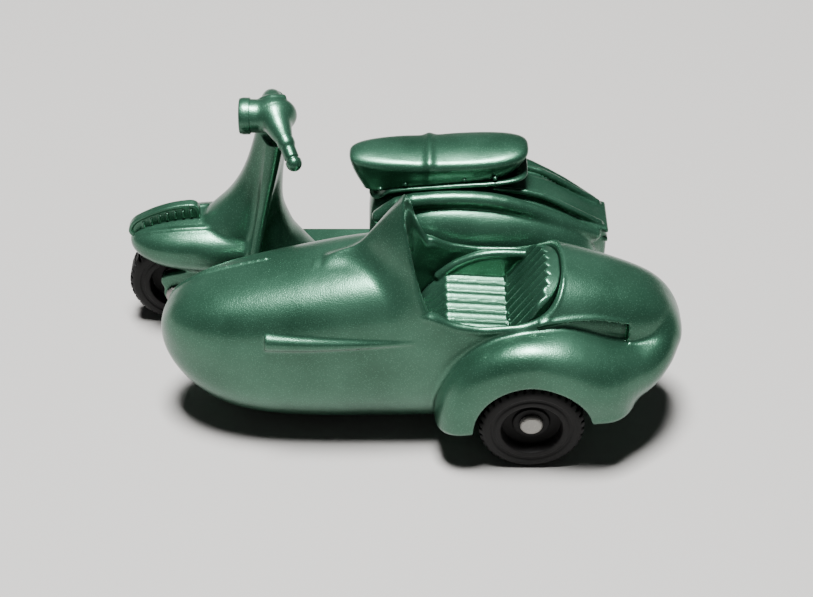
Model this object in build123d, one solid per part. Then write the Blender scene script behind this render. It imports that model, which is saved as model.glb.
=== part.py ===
"""Die-cast toy motor scooter with a sidecar, on three plastic wheels.

Row frame, in millimetres: +Z up from the ground, -X forward, -Y towards the sidecar, which is on the scooter's left.
The origin is on the ground under the centre of the whole toy. Each piece is drawn with x measured from the rear
axle and y from its own centre plane, and is then moved into the row frame.
"""

from build123d import *
import os
from math import copysign, cos, pi, sin

# ---- overall layout ----
WHEELBASE = 33.1
FRONT_OVERHANG = 4.3  # number plate's tip ahead of the front axle
TAIL_OVERHANG = 13.6  # sidecar's tail behind the rear axle
WHEEL_TRACK = 20.2  # scooter's centre plane to the sidecar wheel's
SIDECAR_OFFSET = 12.6  # scooter's centre plane to the sidecar body's

# ---- wheels and axles ----
WHEEL_RADIUS = 4.7
WHEEL_WIDTH = 2.8
HUB_RADIUS = 1.65
HUB_RECESS = 0.95  # hub face below the tyre's, on the outer side
GROOVE_WIDTH = 1.1
GROOVE_DEPTH = 1.2
BACK_HUB_RECESS = 0.3  # the same on the wheel's inner side
BACK_GROOVE_DEPTH = 0.8
TYRE_SHOULDER = 0.4
TREAD_COUNT = 36
TREAD_DEPTH = 0.16
TREAD_GAP = 0.3
AXLE_RADIUS = 0.6
BORE_CLEARANCE = 0.06  # radial, wheel bore over axle and casting hole over axle
HEAD_RADIUS = 1.05
HEAD_THICKNESS = 0.4
END_PLAY = 0.08  # axle head to the face beside it
WHEEL_SIDE_GAP = 0.4  # wheel face to the casting beside it
WHEEL_TIP_GAP = 0.55  # tread to the arch round it

# ---- scooter ----
CASTING_WALL = 1.0
FORK_THICKNESS = 1.0
LUG_RADIUS = 1.7
FOOTBOARD_HALF_WIDTH = 5.9
FOOTBOARD_TOP = 6.0
FOOTBOARD_THICKNESS = 1.0
FOOTBOARD_FRONT = -26.6
FOOTBOARD_REAR = -9.5
SHIELD_THICKNESS = 0.9
PANEL_DEPTH = 2.4
RAIL_RADIUS = 0.7
SADDLE_PAN_Z = 16.95
SADDLE_PAN_THICKNESS = 0.35
LAMP_RADIUS = 1.9
LAMP_Z = 23.7
LAMP_FRONT = -26.3
RIM_LENGTH = 0.9
GRIP_RADIUS = 0.72
GRIP_START = (-21.8, 3.5, 22.8)
GRIP_END = (-20.9, 5.3, 21.8)
PLATE_THICKNESS = 0.9
PLATE_BAR_COUNT = 6

# ---- sidecar ----
SIDECAR_WALL = 1.0
MUDGUARD_OVERHANG = 1.8  # wheel's centre plane to the mudguard's outer face
MUDGUARD_WALL = 0.8
RIM_Z = 13.7  # lowest point of the cockpit's edge
SCREEN_TOP = 22.7
SCREEN_WALL = 0.8
CHASSIS_Z = 2.4
CHASSIS_THICKNESS = 0.9
ARM_WIDTH = 2.4
ARM_X = (-20.5, -11.5)
SPIGOT_RADIUS = 0.6
SEAT_HALF_WIDTH = 4.1
ROLL_WIDTH = 0.8
SEAT_RIB_COUNT = 5
SEAT_RIB_RADIUS = 0.42

# ---- places that follow ----
LENGTH = WHEELBASE + FRONT_OVERHANG + TAIL_OVERHANG
MUDGUARD_FACE = WHEEL_TRACK + MUDGUARD_OVERHANG
REAR_AXLE_X = LENGTH / 2 - TAIL_OVERHANG
FRONT_AXLE_X = REAR_AXLE_X - WHEELBASE
SCOOTER_Y = (MUDGUARD_FACE - FOOTBOARD_HALF_WIDTH) / 2
SIDECAR_Y = SCOOTER_Y - SIDECAR_OFFSET
WHEEL_Y = SCOOTER_Y - WHEEL_TRACK
WHEEL_IN_SIDECAR = SIDECAR_OFFSET - WHEEL_TRACK  # wheel's centre plane, seen from the sidecar's
ARCH_RADIUS = WHEEL_RADIUS + WHEEL_TIP_GAP
SLOT_HALF = WHEEL_WIDTH / 2 + WHEEL_SIDE_GAP
BORE_RADIUS = AXLE_RADIUS + BORE_CLEARANCE
SPIGOT_Y = FOOTBOARD_HALF_WIDTH - 1.9
CUTTER = 60.0  # longer than anything that it cuts through

# Stations are (x, half width, lowest z, highest z) of a hull's cross-sections.
SIDECAR_STATIONS = [
    (-33.2, 0.5, 9.0, 10.0),
    (-32.9, 1.4, 7.9, 11.1),
    (-32.1, 2.6, 6.3, 12.3),
    (-30.4, 3.9, 4.1, 13.3),
    (-27.6, 5.2, 2.3, 14.3),
    (-24.5, 5.8, 1.6, 15.1),
    (-20.5, 6.1, 1.35, 16.1),
    (-14.6, 6.2, 1.2, 17.5),
    (-9.0, 6.2, 1.2, 18.0),
    (-3.0, 6.1, 1.3, 17.7),
    (2.0, 5.8, 1.8, 16.9),
    (6.0, 5.1, 2.7, 15.7),
    (9.6, 4.1, 3.9, 14.2),
    (12.0, 3.1, 5.1, 12.9),
    (13.2, 2.0, 6.4, 11.8),
    (TAIL_OVERHANG, 0.9, 7.8, 10.6),
]
SIDECAR_POWER = 3.0
FRAME_STATIONS = [
    (-15.3, 2.0, 6.0, 15.0),
    (-14.2, 2.8, 6.0, 16.2),
    (-10.0, 3.4, 6.0, 16.9),
    (-4.0, 3.7, 6.0, 16.8),
    (1.0, 3.6, 6.2, 15.8),
    (4.5, 3.1, 6.9, 14.1),
    (7.4, 2.4, 8.2, 12.3),
]
FRAME_POWER = 3.5
SADDLE_LAYERS = [  # (z, half length, half width)
    (16.9, 7.9, 2.6), (17.5, 8.05, 2.75), (18.9, 8.15, 2.8), (19.6, 7.95, 2.6), (20.0, 7.4, 2.1), (20.1, 6.0, 1.2),
]
SADDLE_CENTRE = -8.15
SADDLE_PITCH = 1.8  # degrees, rear up
BAND_X = (-9.6, -8.4)
BAND_HEIGHT = 0.16
MUDGUARD_STATIONS = [
    (-37.3, 0.5, 8.9, 9.9),
    (-36.8, 1.6, 8.2, 10.5),
    (-35.4, 2.6, 7.8, 11.1),
    (-33.0, 3.3, 7.4, 11.7),
    (-30.0, 3.9, 7.1, 12.1),
    (-27.2, 4.2, 7.2, 12.2),
    (-25.4, 4.2, 7.4, 12.0),
]
MUDGUARD_POWER = 2.6
PANEL_OUTLINE = [
    (-13.2, 10.2), (-11.6, 13.5), (-7.0, 15.3), (-1.0, 14.5), (4.0, 11.9),
    (6.6, 9.0), (4.4, 7.2), (-1.0, 6.6), (-8.0, 6.6), (-12.0, 7.6),
]
PANEL_STEPS = [(1.0, 0.0), (0.985, 0.45), (0.93, 0.75), (0.78, 0.93), (0.5, 1.0)]  # (scale, share of depth)


def ring_points(half_width, z_low, z_high, power, count=20):
    """(y, z) points of a superellipse, widest half way up."""
    middle, half_height = (z_low + z_high) / 2, (z_high - z_low) / 2
    points = []
    for step in range(count):
        turn = 2 * pi * step / count
        across, up = cos(turn), sin(turn)
        y = half_width * copysign(abs(across) ** (2 / power), across)
        z = middle + half_height * copysign(abs(up) ** (2 / power), up)
        points.append((y, z))
    return points


def hull(stations, power, inset=0.0):
    """Solid lofted along x through superellipse sections, each drawn in by inset."""
    faces = []
    for x, half_width, low, high in stations:
        if half_width - inset < 0.3:
            continue
        ring = ring_points(half_width - inset, low + inset, high - inset, power)
        faces.append(make_face(Spline(*[(x, y, z) for y, z in ring], periodic=True)))
    return loft(faces)


def bar_y(x, z, radius, y_from, y_to):
    """Round bar along y."""
    length = y_to - y_from
    return Pos(x, (y_from + y_to) / 2, z) * Rot(90, 0, 0) * Cylinder(radius, length)


def rod(start, end, radius, end_radius=None):
    """Round or tapered bar between two points."""
    start, end = Vector(*start), Vector(*end)
    axis = end - start
    plane = Plane(origin=start, z_dir=axis)
    far = Plane(origin=end, x_dir=plane.x_dir, z_dir=axis)
    return loft([plane * Circle(radius), far * Circle(radius if end_radius is None else end_radius)])


def side_plate(outline, y_from, y_to):
    """Extrudes a closed x-z outline along y."""
    face = make_face(outline)
    return Pos(0, y_from, 0) * extrude(face, amount=y_to - y_from, dir=(0, 1, 0))


def side_polygon(points):
    """Closed straight-sided outline in the x-z plane."""
    return Polyline(*[(x, 0, z) for x, z in points], close=True)


def block(x_range, y_range, z_range):
    """Box between limits."""
    sizes = [high - low for low, high in (x_range, y_range, z_range)]
    centre = [(low + high) / 2 for low, high in (x_range, y_range, z_range)]
    return Pos(*centre) * Box(*sizes)


def wheel_side(hub_recess, groove_depth):
    """Half of the wheel's profile, from the bore out to the tread, as (radius, distance from mid-plane)."""
    half = WHEEL_WIDTH / 2
    groove_out = HUB_RADIUS + GROOVE_WIDTH
    return [
        (BORE_RADIUS, half - hub_recess),
        (HUB_RADIUS, half - hub_recess),
        (HUB_RADIUS, half - groove_depth),
        (groove_out, half - groove_depth),
        (groove_out, half),
        (WHEEL_RADIUS - TYRE_SHOULDER, half),
        (WHEEL_RADIUS, half - TYRE_SHOULDER),
    ]


def wheel():
    """One-piece wheel and tyre about the y axis: dished outer side, ring groove and cross-cut tread."""
    side = wheel_side(BACK_HUB_RECESS, BACK_GROOVE_DEPTH)
    mirrored = [(radius, -y) for radius, y in reversed(wheel_side(HUB_RECESS, GROOVE_DEPTH))]
    profile = make_face(Polyline(*[(r, y, 0) for r, y in side + mirrored], close=True))
    body = revolve(profile, Axis.Y)
    notch = Pos(WHEEL_RADIUS, 0, 0) * Box(2 * TREAD_DEPTH, WHEEL_WIDTH + 1, TREAD_GAP)
    for step in range(TREAD_COUNT):
        body -= Rot(0, 360 * (step + 0.5) / TREAD_COUNT, 0) * notch
    return body


def axle(x, y_from, y_to):
    """Axle wire with an upset head at each end; the limits are the heads' inner faces."""
    body = bar_y(x, WHEEL_RADIUS, AXLE_RADIUS, y_from, y_to)
    for inner, outward in ((y_from, -1), (y_to, 1)):
        head = bar_y(x, WHEEL_RADIUS, HEAD_RADIUS, min(inner, inner + outward * HEAD_THICKNESS),
                     max(inner, inner + outward * HEAD_THICKNESS))
        rim = head.edges().filter_by(GeomType.CIRCLE).sort_by(Axis.Y)
        head = fillet(rim[0] if outward < 0 else rim[-1], HEAD_THICKNESS * 0.8)
        body += head
    return body


def wheel_arch(x, half_width, y_centre=0.0):
    """Space that a wheel needs: a round slot, open downwards."""
    round_part = bar_y(x, WHEEL_RADIUS, ARCH_RADIUS, y_centre - half_width, y_centre + half_width)
    below = block((x - ARCH_RADIUS, x + ARCH_RADIUS), (y_centre - half_width, y_centre + half_width),
                  (-1, WHEEL_RADIUS))
    return round_part + below


def axle_hole(x):
    """Hole for an axle, right across."""
    return bar_y(x, WHEEL_RADIUS, BORE_RADIUS, -CUTTER, CUTTER)


def scooter_frame():
    """Rear body casting: spine, upper rails and the lugs that carry the rear axle."""
    body = hull(FRAME_STATIONS, FRAME_POWER)
    rail_path = ThreePointArc((-14.0, 0, 13.4), (-5.5, 0, 16.0), (6.8, 0, 11.6))
    for side in (-1, 1):
        start = Plane(origin=rail_path @ 0, z_dir=rail_path % 0)
        rail = Pos(0, side * 3.0, 0) * sweep(start * Circle(RAIL_RADIUS), path=rail_path)
        body += rail
    lug_in, lug_out = SLOT_HALF, SLOT_HALF + FORK_THICKNESS
    for side in (-1, 1):
        lug = bar_y(0, WHEEL_RADIUS, LUG_RADIUS, *sorted((side * lug_in, side * lug_out)))
        lug += block((-LUG_RADIUS, LUG_RADIUS), sorted((side * lug_in, side * lug_out)), (WHEEL_RADIUS, 8.0))
        body += lug
    return body - wheel_arch(0, SLOT_HALF) - axle_hole(0)


def side_panel(side, frame):
    """Bulged engine cover on one side of the rear body."""
    centre_x, centre_z = -3.6, 10.6
    inner = 2.6
    faces = []
    for scale, share in PANEL_STEPS:
        y = side * (inner + (FRAME_STATIONS[3][1] - inner + PANEL_DEPTH) * share)
        points = [(centre_x + (x - centre_x) * scale, y, centre_z + (z - centre_z) * scale)
                  for x, z in PANEL_OUTLINE]
        faces.append(make_face(Spline(*points, periodic=True)))
    return loft(faces) - frame


def rounded_plan(half_length, half_width, z, power=4.0, count=24):
    """Closed superellipse in plan, at one height."""
    points = []
    for step in range(count):
        turn = 2 * pi * step / count
        x = half_length * copysign(abs(cos(turn)) ** (2 / power), cos(turn))
        y = half_width * copysign(abs(sin(turn)) ** (2 / power), sin(turn))
        points.append((x, y, z))
    return Spline(*points, periodic=True)


def saddle():
    """Long dual saddle with a raised band across its middle."""
    bottom = SADDLE_PAN_Z + SADDLE_PAN_THICKNESS
    cushion = loft([make_face(rounded_plan(length, width, z)) for z, length, width in SADDLE_LAYERS])
    band = loft([make_face(rounded_plan(length, width + BAND_HEIGHT, z + (BAND_HEIGHT if z > 19 else 0)))
                 for z, length, width in SADDLE_LAYERS])
    cushion = Pos(SADDLE_CENTRE, 0, 0) * cushion
    band = Pos(SADDLE_CENTRE, 0, 0) * band
    band &= block(BAND_X, (-CUTTER, CUTTER), (bottom + 0.4, CUTTER))
    turn = Pos(SADDLE_CENTRE, 0, bottom) * Rot(0, -SADDLE_PITCH, 0) * Pos(-SADDLE_CENTRE, 0, -bottom)
    return (turn * (cushion + band)) & block((-CUTTER, CUTTER), (-CUTTER, CUTTER), (bottom, CUTTER))


def saddle_pan(frame):
    """Thin pan under the saddle."""
    plan = make_face(rounded_plan(SADDLE_LAYERS[1][1] - 0.2, SADDLE_LAYERS[2][2] + 0.15, SADDLE_PAN_Z))
    return Pos(SADDLE_CENTRE, 0, 0) * extrude(plan, amount=SADDLE_PAN_THICKNESS, dir=(0, 0, 1)) - frame


def tail_block(frame):
    """Rear lamp and plate block, with two cast ribs across it."""
    body = block((5.6, 7.8), (-2.0, 2.0), (9.2, 12.9))
    body = fillet(body.edges().filter_by(Axis.Y).sort_by(Axis.X)[-2:], 0.5)
    for z in (11.8, 12.7):
        body += block((6.4, 8.0), (-2.15, 2.15), (z - 0.2, z + 0.2))
    return body - frame


def footboard(frame):
    """Flat deck from the leg shield to the rear body, with holes for the sidecar's spigots."""
    half = FOOTBOARD_HALF_WIDTH
    outline = Polyline((FOOTBOARD_FRONT, -half + 1.2, 0), (FOOTBOARD_FRONT + 1.6, -half, 0), (-14.5, -half, 0),
                       (FOOTBOARD_REAR, -3.4, 0), (FOOTBOARD_REAR, 3.4, 0), (-14.5, half, 0),
                       (FOOTBOARD_FRONT + 1.6, half, 0), (FOOTBOARD_FRONT, half - 1.2, 0), close=True)
    deck = Pos(0, 0, FOOTBOARD_TOP - FOOTBOARD_THICKNESS) * extrude(
        make_face(outline), amount=FOOTBOARD_THICKNESS, dir=(0, 0, 1))
    for x in ARM_X:
        deck -= Pos(x, -SPIGOT_Y, FOOTBOARD_TOP) * Cylinder(SPIGOT_RADIUS + BORE_CLEARANCE, 4)
    return deck - frame


def leg_shield(cover, mudguard):
    """Swept-back shield: a curved band that narrows from the deck to the neck."""
    faces = []
    for x, half_width, z, sweep_back in (
        (-25.8, FOOTBOARD_HALF_WIDTH, FOOTBOARD_TOP, 1.1), (-26.0, FOOTBOARD_HALF_WIDTH - 0.3, 9.5, 1.4),
        (-25.7, 4.5, 13.0, 1.6), (-24.9, 3.0, 16.5, 1.3), (-24.2, 2.0, 19.0, 0.9), (-23.6, 1.5, 21.2, 0.6),
    ):
        front = ThreePointArc((x + sweep_back, -half_width, z), (x, 0, z), (x + sweep_back, half_width, z))
        back = ThreePointArc((x + sweep_back + SHIELD_THICKNESS, half_width, z), (x + SHIELD_THICKNESS, 0, z),
                             (x + sweep_back + SHIELD_THICKNESS, -half_width, z))
        ends = [Line(front @ 1, back @ 0), Line(back @ 1, front @ 0)]
        faces.append(make_face([front, ends[0], back, ends[1]]))
    return loft(faces) - cover - mudguard


def column_cover():
    """Steering column with its front cover, flared at the foot over the mudguard."""
    faces = []
    for x, half_length, half_width, z in (
        (-23.6, 1.2, 1.25, 21.9), (-24.2, 1.4, 1.35, 19.6), (-25.0, 2.1, 1.9, 16.8),
        (-26.1, 3.1, 2.7, 14.2), (-26.9, 3.8, 3.5, 12.0), (-26.9, 3.6, 3.6, 10.0),
    ):
        faces.append(Plane(origin=(x, 0, z)) * Ellipse(half_length, half_width))
    return loft(faces)


def headset():
    """Handlebar casting: lamp barrel, rounded body and an arm to each grip."""
    barrel = rod((LAMP_FRONT + RIM_LENGTH, 0, LAMP_Z), (-23.0, 0, LAMP_Z), LAMP_RADIUS - 0.12, 1.65)
    body = Pos(-22.9, 0, LAMP_Z) * scale(Sphere(1.0), by=(2.2, 1.9, 1.85))
    bars = barrel + body
    for side in (-1, 1):
        bars += rod((-23.0, 0, LAMP_Z), (GRIP_START[0], side * GRIP_START[1], GRIP_START[2]), 1.5, 0.9)
    return bars


def handgrip(side):
    """Ribbed grip on the end of one arm."""
    start = Vector(GRIP_START[0], side * GRIP_START[1], GRIP_START[2])
    end = Vector(GRIP_END[0], side * GRIP_END[1], GRIP_END[2])
    run = end - start
    grip = rod(tuple(start), tuple(end), GRIP_RADIUS)
    collar = rod(tuple(start), tuple(start + run * 0.12), GRIP_RADIUS + 0.16)
    knob = rod(tuple(start + run * 0.82), tuple(end), GRIP_RADIUS + 0.12)
    return grip + collar + knob


def headlamp_rim():
    """Bezel and domed face on the front of the lamp barrel."""
    ring = rod((LAMP_FRONT, 0, LAMP_Z), (LAMP_FRONT + RIM_LENGTH, 0, LAMP_Z), LAMP_RADIUS)
    return fillet(ring.edges().sort_by(Axis.X)[0], 0.3)


def front_mudguard(cover):
    """Deep front mudguard over the wheel."""
    body = hull(MUDGUARD_STATIONS, MUDGUARD_POWER)
    return body - wheel_arch(-WHEELBASE, SLOT_HALF + 0.2) - cover


def number_plate(mudguard, cover):
    """Plate standing along the mudguard's crown, with plain raised bars on both faces."""
    tip_x = -WHEELBASE - FRONT_OVERHANG
    crown = ThreePointArc((tip_x, 0, 11.0), (-34.6, 0, 13.1), (-30.8, 0, 13.7))
    heel = Polyline((-30.8, 0, 13.7), (-30.6, 0, 11.0), (-33.0, 0, 10.4), (-36.6, 0, 9.6), (tip_x, 0, 11.0))
    plate = side_plate([crown, heel], -PLATE_THICKNESS / 2, PLATE_THICKNESS / 2)
    for step in range(PLATE_BAR_COUNT):
        at = crown @ (0.17 + 0.68 * step / (PLATE_BAR_COUNT - 1))
        plate += Pos(at.X + 0.15, 0, at.Z - 1.0) * Box(0.34, PLATE_THICKNESS + 0.24, 0.8)
    return plate - mudguard - cover


def fork_leg(side, mudguard, cover):
    """One fork leg, from the mudguard's underside to the axle boss."""
    inner, outer = sorted((side * SLOT_HALF, side * (SLOT_HALF + FORK_THICKNESS)))
    x, z = -WHEELBASE, WHEEL_RADIUS
    leg = bar_y(x, z, LUG_RADIUS, inner, outer)
    leg += side_plate(side_polygon([(x - 0.6, z + 1.55), (x + 2.6, 8.6), (x + 5.6, 8.6), (x + 1.2, z - 1.1)]),
                      inner, outer)
    return leg - axle_hole(x) - mudguard - cover


def sidecar_hull():
    """The sidecar body as a full solid, which other pieces are fitted to."""
    return hull(SIDECAR_STATIONS, SIDECAR_POWER)


def cockpit_cut():
    """Everything above the cockpit's edge, between the screen and the rear coaming."""
    edge = Spline((-8.6, 0, 15.4), (-7.2, 0, 14.1), (-4.6, 0, RIM_Z), (0.0, 0, 14.1), (1.8, 0, 15.2), (2.7, 0, 17.4))
    over = Polyline((2.7, 0, 17.4), (3.2, 0, 30.0), (-12.7, 0, 30.0), (-8.6, 0, 15.4))
    return side_plate([edge, over], -CUTTER, CUTTER)


def sidecar_shell(outer):
    """Hollow body shell: cockpit open above, underside open below, notches for the chassis arms."""
    inner = hull(SIDECAR_STATIONS, SIDECAR_POWER, SIDECAR_WALL)
    shell = outer - inner - cockpit_cut()
    opening = [(-9.5 + 17.0 * copysign(abs(cos(t)) ** 0.7, cos(t)), 4.3 * copysign(abs(sin(t)) ** 0.7, sin(t)), -1)
               for t in [2 * pi * step / 24 for step in range(24)]]
    shell -= extrude(make_face(Spline(*opening, periodic=True)), amount=CHASSIS_Z + 1.5, dir=(0, 0, 1))
    shell -= bar_y(0, WHEEL_RADIUS, ARCH_RADIUS, WHEEL_IN_SIDECAR - SLOT_HALF,
                   WHEEL_IN_SIDECAR + SLOT_HALF)
    for x in ARM_X:
        shell -= block((x - ARM_WIDTH / 2 - 0.1, x + ARM_WIDTH / 2 + 0.1), (0, CUTTER),
                       (0, CHASSIS_Z + CHASSIS_THICKNESS + 0.1))
    return shell - axle_hole(0)


def sidecar_chassis():
    """Floor of the sidecar with two arms, whose spigots are spun over on the footboard."""
    inner = hull(SIDECAR_STATIONS, SIDECAR_POWER, SIDECAR_WALL)
    slab = block((-CUTTER, CUTTER), (-CUTTER, CUTTER), (CHASSIS_Z, CHASSIS_Z + CHASSIS_THICKNESS))
    chassis = inner & slab
    spigot_y = SIDECAR_OFFSET - SPIGOT_Y
    underside = FOOTBOARD_TOP - FOOTBOARD_THICKNESS
    for x in ARM_X:
        chassis += block((x - ARM_WIDTH / 2, x + ARM_WIDTH / 2), (2.0, spigot_y + 1.2),
                         (CHASSIS_Z, CHASSIS_Z + CHASSIS_THICKNESS))
        boss = Cylinder(1.2, underside - CHASSIS_Z, align=(Align.CENTER, Align.CENTER, Align.MIN))
        pin = Cylinder(SPIGOT_RADIUS, FOOTBOARD_TOP - CHASSIS_Z, align=(Align.CENTER, Align.CENTER, Align.MIN))
        head = Cylinder(1.0, 0.3, align=(Align.CENTER, Align.CENTER, Align.MIN))
        chassis += Pos(x, spigot_y, CHASSIS_Z) * (boss + pin)
        chassis += Pos(x, spigot_y, FOOTBOARD_TOP) * head
    return chassis


def sidecar_screen(outer):
    """Windscreen cowl: it grows out of the body ahead of the cockpit and is scooped out behind to a thin edge."""
    stations = [(-17.4, 4.2, 8.0, 16.6), (-15.4, 5.4, 8.0, 18.2), (-13.4, 6.0, 8.0, 20.4),
                (-11.6, 6.15, 8.0, SCREEN_TOP), (-8.4, 6.15, 8.0, SCREEN_TOP + 1.5)]
    cowl = hull(stations, 2.2)
    scoop = hull([(x, width, low, high) for x, width, low, high in stations], 2.2, SCREEN_WALL)
    scoop &= side_plate(side_polygon([(-13.4, 24.5), (-10.2, 13.0), (0, 13.0), (0, 30), (-13.4, 30)]), -CUTTER, CUTTER)
    behind = side_plate(side_polygon([(-9.3, 15.2), (-8.6, 13.0), (0, 13.0), (0, 30), (-13.5, 30)]), -CUTTER, CUTTER)
    above = block((-CUTTER, CUTTER), (-CUTTER, CUTTER), (13.0, 40.0))
    return ((cowl - scoop - behind) & above) - outer


def sidecar_seat():
    """Seat pan: front wall of the cockpit, ribbed cushion, reclined back and a side roll."""
    inner = hull(SIDECAR_STATIONS, SIDECAR_POWER, SIDECAR_WALL)
    top = [(-10.0, 14.0), (-10.0, 9.4), (-8.0, 11.9), (-1.7, 11.5), (1.5, 15.4)]
    under = [(2.4, 15.0), (-0.9, 10.4), (-7.6, 10.8), (-9.8, 8.0), (-10.9, 8.0), (-10.9, 14.0)]
    seat = side_plate(side_polygon(top + under), -CUTTER, CUTTER)
    pitch = 2 * SEAT_HALF_WIDTH / (SEAT_RIB_COUNT + 0.5)
    for step in range(SEAT_RIB_COUNT):
        y = (step - (SEAT_RIB_COUNT - 1) / 2) * pitch
        for (x0, z0), (x1, z1) in zip(top[1:], top[2:]):
            seat += rod((x0, y, z0), (x1, y, z1), SEAT_RIB_RADIUS)
    arc = ThreePointArc((-8.0, 0, 11.8), (-5.2, 0, 13.9), (-0.8, 0, 14.6))
    rest = Polyline((-0.8, 0, 14.6), (-1.4, 0, 11.2), (-7.6, 0, 11.2), (-8.0, 0, 11.8))
    seat += side_plate([arc, rest], SEAT_HALF_WIDTH, SEAT_HALF_WIDTH + ROLL_WIDTH)
    return seat & inner


def sidecar_mudguard(outer):
    """Wheel cover on the sidecar's outer side, run back into the tail."""
    near = WHEEL_IN_SIDECAR - MUDGUARD_OVERHANG
    crown = Spline((-7.9, 0, 4.9), (-8.2, 0, 7.2), (-6.4, 0, 11.0), (-3.2, 0, 13.2), (0.6, 0, 13.8), (4.6, 0, 12.8),
                   (8.4, 0, 11.6), (11.6, 0, 11.2))
    tail = Spline((11.6, 0, 11.2), (12.2, 0, 10.2), (10.6, 0, 8.0), (7.6, 0, 6.6), (5.4, 0, 6.7))
    arch = ThreePointArc((5.4, 0, 6.7), (0.2, 0, 10.2), (-4.4, 0, 4.9))
    foot = Line((-4.4, 0, 4.9), (-7.9, 0, 4.9))
    body = side_plate([crown, tail, arch, foot], near, -1.0)
    plan = Spline((-10.0, near + 3.0, 0), (-8.0, near + 1.2, 0), (-3.0, near, 0), (2.0, near + 0.1, 0),
                  (8.0, near + 2.4, 0), (13.0, near + 6.4, 0))
    rest = Polyline((13.0, near + 6.4, 0), (13.0, 0, 0), (-10.0, 0, 0), (-10.0, near + 3.0, 0))
    body &= extrude(make_face([plan, rest]), amount=CUTTER, dir=(0, 0, 1))
    well = wheel_arch(0, SLOT_HALF - 0.2, WHEEL_IN_SIDECAR)
    return body - well - outer


def sidecar_strake(outer):
    """Spear-shaped flash on the body's outer side."""
    front = Plane(origin=(-23.4, -5.7, 12.0), z_dir=(1, 0, 0)) * Circle(0.9)
    back = Plane(origin=(-10.0, -6.0, 12.5), z_dir=(1, 0, 0)) * Circle(0.25)
    return loft([front, back]) - outer


def build():
    """Makes every piece in the row frame, by node name."""
    scooter = Pos(REAR_AXLE_X, SCOOTER_Y, 0)
    sidecar = Pos(REAR_AXLE_X, SIDECAR_Y, 0)
    frame = scooter_frame()
    cover = column_cover()
    mudguard = front_mudguard(cover)
    outer = sidecar_hull()
    shell = sidecar_shell(outer)
    lug_face = SLOT_HALF + FORK_THICKNESS + END_PLAY
    wheel_face = WHEEL_TRACK + WHEEL_WIDTH / 2 - HUB_RECESS + END_PLAY
    hs = headset()
    pieces = {
        "scooter_frame": scooter * frame,
        "side_panel_left": scooter * side_panel(-1, frame),
        "side_panel_right": scooter * side_panel(1, frame),
        "saddle": scooter * saddle(),
        "saddle_pan": scooter * saddle_pan(frame),
        "tail_lamp_block": scooter * tail_block(frame),
        "footboard": scooter * footboard(frame),
        "leg_shield": scooter * leg_shield(cover, mudguard),
        "column_cover": scooter * cover,
        "handlebar_headset": scooter * (hs - cover),
        "headlamp_rim": scooter * headlamp_rim(),
        "handgrip_left": scooter * (handgrip(-1) - hs),
        "handgrip_right": scooter * (handgrip(1) - hs),
        "front_mudguard": scooter * mudguard,
        "number_plate": scooter * number_plate(mudguard, cover),
        "fork_leg_left": scooter * fork_leg(-1, mudguard, cover),
        "fork_leg_right": scooter * fork_leg(1, mudguard, cover),
        "front_axle": scooter * axle(-WHEELBASE, -lug_face, lug_face),
        "rear_axle": scooter * axle(0, -wheel_face, lug_face),
        "front_wheel": Pos(FRONT_AXLE_X, SCOOTER_Y, WHEEL_RADIUS) * wheel(),
        "rear_wheel": Pos(REAR_AXLE_X, SCOOTER_Y, WHEEL_RADIUS) * wheel(),
        "sidecar_wheel": Pos(REAR_AXLE_X, WHEEL_Y, WHEEL_RADIUS) * wheel(),
        "sidecar_shell": sidecar * shell,
        "sidecar_chassis": sidecar * sidecar_chassis(),
        "sidecar_screen": sidecar * sidecar_screen(outer),
        "sidecar_seat": sidecar * (sidecar_seat() - shell),
        "sidecar_mudguard": sidecar * sidecar_mudguard(outer),
        "sidecar_strake": sidecar * sidecar_strake(outer),
    }
    return pieces


os.makedirs("parts", exist_ok=True)
for name, shape in build().items():
    print(name, len(shape.solids()), round(shape.volume, 2), shape.bounding_box())
    export_step(shape, f"parts/{name}.step")
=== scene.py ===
"""Looks of a small die-cast scooter with a sidecar: enamelled castings, moulded wheels and bare axles.

Every casting is worked out as a field, whose value at a point is about the distance in millimetres to
the metal's surface, negative inside. Fields are blended as fillets blend on a real casting, and one
mesher turns each into a closed quad surface. Turned pieces are profiles carried round an axis.
"""

import logging
import math
from collections.abc import Callable, Sequence
from dataclasses import dataclass, field
from enum import Enum

import bpy
import numpy as np
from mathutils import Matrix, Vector

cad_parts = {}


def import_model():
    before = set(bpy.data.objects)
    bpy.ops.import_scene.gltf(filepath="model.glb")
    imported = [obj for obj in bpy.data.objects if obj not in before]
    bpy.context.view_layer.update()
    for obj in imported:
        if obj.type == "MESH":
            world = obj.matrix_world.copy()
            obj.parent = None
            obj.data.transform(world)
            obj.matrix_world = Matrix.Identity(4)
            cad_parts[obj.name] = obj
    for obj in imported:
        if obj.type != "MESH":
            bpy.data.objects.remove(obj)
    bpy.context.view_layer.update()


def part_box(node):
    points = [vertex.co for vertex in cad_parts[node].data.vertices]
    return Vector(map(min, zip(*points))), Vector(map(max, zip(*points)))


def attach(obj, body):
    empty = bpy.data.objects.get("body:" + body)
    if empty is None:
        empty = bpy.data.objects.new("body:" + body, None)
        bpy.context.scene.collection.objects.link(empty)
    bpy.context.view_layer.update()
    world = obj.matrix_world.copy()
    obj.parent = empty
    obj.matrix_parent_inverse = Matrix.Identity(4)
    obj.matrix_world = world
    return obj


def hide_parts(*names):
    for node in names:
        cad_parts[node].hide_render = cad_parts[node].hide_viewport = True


LOG = logging.getLogger("scooter")
Array = np.ndarray
Field = Callable[[Array, Array, Array], Array]
Rows = tuple[tuple[float, ...], ...]
MM = 0.001


# ---- arithmetic on fields ------------------------------------------------------------------------


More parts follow.
